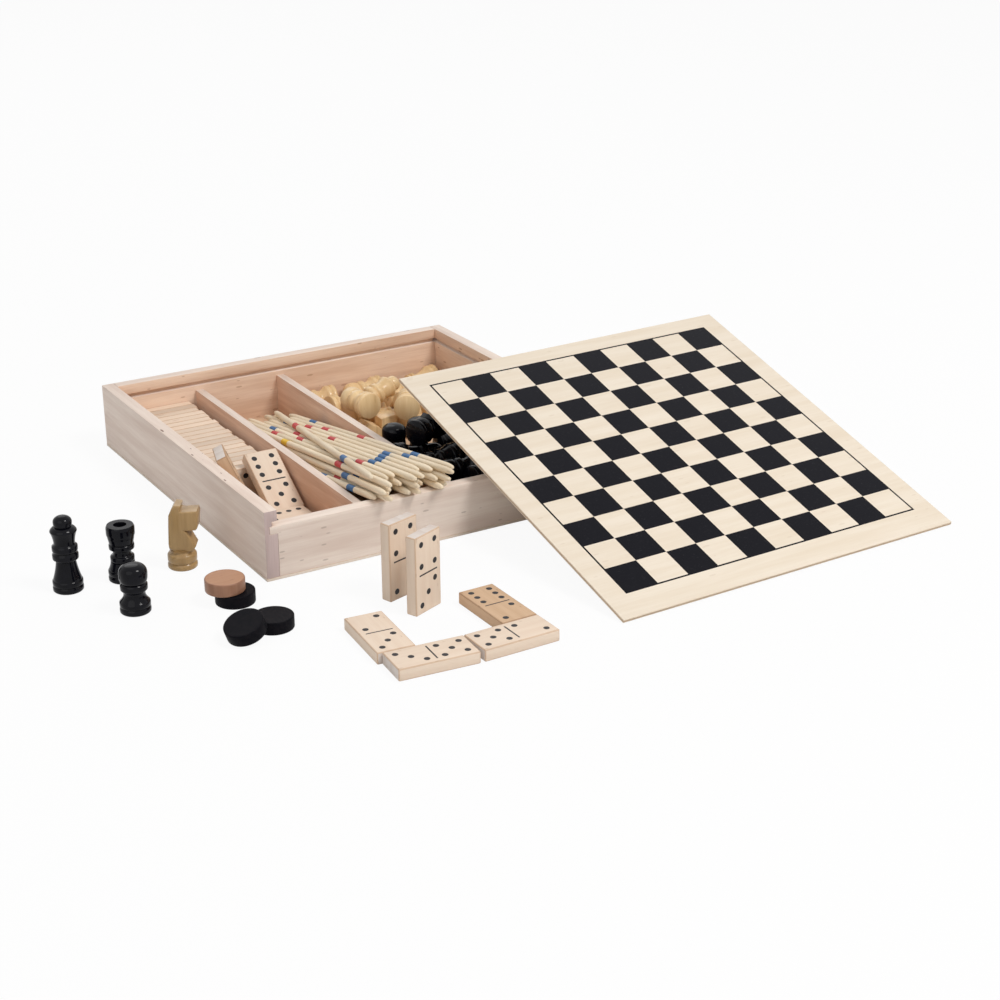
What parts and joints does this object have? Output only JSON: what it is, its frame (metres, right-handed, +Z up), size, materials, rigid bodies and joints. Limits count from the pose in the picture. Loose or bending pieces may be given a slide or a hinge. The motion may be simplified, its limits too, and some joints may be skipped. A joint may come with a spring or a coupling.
{
  "type": "games compendium box",
  "caption": "Open wooden games case with its checkered sliding board lid taken off and leaned on its front, holding dominoes, pick-up sticks, draughts and chess men.",
  "frame": {"origin": "centre of the case's underside, on the table that every loose piece also stands on", "axes": "+X to the right along the case's front, +Y from the front to the back, +Z up"},
  "size_m": [0.4439, 0.3642, 0.0649],
  "materials": {
    "case_beech": "planed and lightly sanded pale beech, unvarnished",
    "divider_beech": "planed beech, unvarnished",
    "bottom_ply": "thin plywood, unvarnished",
    "board_ply": "pale plywood with a printed board, matt varnish",
    "domino_wood": "pale beech with printed pips, matt",
    "stick_wood": "pale bamboo or beech with painted bands, satin",
    "natural_lacquer": "clear gloss lacquer over pale turned wood",
    "black_lacquer": "gloss black lacquer over turned wood",
    "black_draught": "satin black stain",
    "natural_draught": "satin clear lacquer over reddish-brown wood"
  },
  "bodies": {
    "box": {"left_side": "case_beech", "right_side": "case_beech", "back_wall": "case_beech", "front_wall": "case_beech", "bottom_panel": "bottom_ply", "left_divider": "divider_beech", "right_divider": "divider_beech"},
    "lid": {"lid_board": "board_ply"},
    "domino_four_three_tile": {"domino_four_three": "domino_wood"},
    "domino_four_two_tile": {"domino_four_two": "domino_wood"},
    "domino_two_three_tile": {"domino_two_three": "domino_wood"},
    "domino_three_five_tile": {"domino_three_five": "domino_wood"},
    "domino_five_two_tile": {"domino_five_two": "domino_wood"},
    "domino_six_two_tile": {"domino_six_two": "domino_wood"},
    "domino_row_tiles": {"domino_row": "domino_wood"},
    "domino_six_five_tile": {"domino_six_five": "domino_wood"},
    "domino_six_one_tile": {"domino_six_one": "domino_wood"},
    "domino_three_one_tile": {"domino_three_one": "domino_wood"},
    "stick_bundle": {"stick_mikado": "stick_wood", "sticks_mandarin": "stick_wood", "sticks_bonze": "stick_wood", "sticks_samurai": "stick_wood", "sticks_coolie": "stick_wood"},
    "black_queen_man": {"black_queen": "black_lacquer"},
    "black_rook_man": {"black_rook": "black_lacquer"},
    "black_pawn_man": {"black_pawn": "black_lacquer"},
    "natural_knight_man": {"natural_knight": "natural_lacquer"},
    "under_disc": {"draught_black_under": "black_draught"},
    "upper_disc": {"draught_natural_upper": "natural_draught"},
    "flat_disc": {"draught_black_flat": "black_draught"},
    "leaning_disc": {"draught_black_leaning": "black_draught"},
    "natural_set": {"natural_pawns_in_box": "natural_lacquer", "natural_bishops_in_box": "natural_lacquer", "natural_queen_in_box": "natural_lacquer", "natural_king_in_box": "natural_lacquer", "natural_rooks_in_box": "natural_lacquer", "natural_knight_in_box": "natural_lacquer"},
    "black_set": {"draughts_black": "black_draught", "draughts_natural": "natural_draught", "black_pawns_in_box": "black_lacquer", "black_bishops_in_box": "black_lacquer", "black_king_in_box": "black_lacquer", "black_rook_in_box": "black_lacquer", "black_knights_in_box": "black_lacquer"}
  },
  "joints": [
    {"name": "lid_lift", "type": "slide", "parent": "box", "child": "lid", "axis": [0, 0, 1], "range_m": [0, 0.12]},
    {"name": "domino_four_three_lift", "type": "slide", "parent": "box", "child": "domino_four_three_tile", "axis": [0, 0, 1], "range_m": [0, 0.06]},
    {"name": "domino_four_two_lift", "type": "slide", "parent": "box", "child": "domino_four_two_tile", "axis": [0, 0, 1], "range_m": [0, 0.06]},
    {"name": "domino_two_three_lift", "type": "slide", "parent": "box", "child": "domino_two_three_tile", "axis": [0, 0, 1], "range_m": [0, 0.06]},
    {"name": "domino_three_five_lift", "type": "slide", "parent": "box", "child": "domino_three_five_tile", "axis": [0, 0, 1], "range_m": [0, 0.06]},
    {"name": "domino_five_two_lift", "type": "slide", "parent": "box", "child": "domino_five_two_tile", "axis": [0, 0, 1], "range_m": [0, 0.06]},
    {"name": "domino_six_two_lift", "type": "slide", "parent": "box", "child": "domino_six_two_tile", "axis": [0, 0, 1], "range_m": [0, 0.06]},
    {"name": "domino_row_lift", "type": "slide", "parent": "box", "child": "domino_row_tiles", "axis": [0, 0, 1], "range_m": [0, 0.06]},
    {"name": "domino_six_five_lift", "type": "slide", "parent": "domino_row_tiles", "child": "domino_six_five_tile", "axis": [0, 0, 1], "range_m": [0, 0.04]},
    {"name": "domino_six_one_lift", "type": "slide", "parent": "box", "child": "domino_six_one_tile", "axis": [0, 0, 1], "range_m": [0, 0.06]},
    {"name": "domino_three_one_lift", "type": "slide", "parent": "box", "child": "domino_three_one_tile", "axis": [0, 0, 1], "range_m": [0, 0.06]},
    {"name": "stick_bundle_lift", "type": "slide", "parent": "box", "child": "stick_bundle", "axis": [0, 0, 1], "range_m": [0, 0.08]},
    {"name": "black_queen_lift", "type": "slide", "parent": "box", "child": "black_queen_man", "axis": [0, 0, 1], "range_m": [0, 0.06]},
    {"name": "black_rook_lift", "type": "slide", "parent": "box", "child": "black_rook_man", "axis": [0, 0, 1], "range_m": [0, 0.06]},
    {"name": "black_pawn_lift", "type": "slide", "parent": "box", "child": "black_pawn_man", "axis": [0, 0, 1], "range_m": [0, 0.06]},
    {"name": "natural_knight_lift", "type": "slide", "parent": "box", "child": "natural_knight_man", "axis": [0, 0, 1], "range_m": [0, 0.06]},
    {"name": "under_disc_lift", "type": "slide", "parent": "box", "child": "under_disc", "axis": [0, 0, 1], "range_m": [0, 0.05]},
    {"name": "upper_disc_lift", "type": "slide", "parent": "under_disc", "child": "upper_disc", "axis": [0, 0, 1], "range_m": [0, 0.04]},
    {"name": "flat_disc_lift", "type": "slide", "parent": "box", "child": "flat_disc", "axis": [0, 0, 1], "range_m": [0, 0.05]},
    {"name": "leaning_disc_lift", "type": "slide", "parent": "flat_disc", "child": "leaning_disc", "axis": [0, 0, 1], "range_m": [0, 0.04]},
    {"name": "natural_set_lift", "type": "slide", "parent": "box", "child": "natural_set", "axis": [0, 0, 1], "range_m": [0, 0.06]},
    {"name": "black_set_lift", "type": "slide", "parent": "box", "child": "black_set", "axis": [0, 0, 1], "range_m": [0, 0.008]}
  ]
}
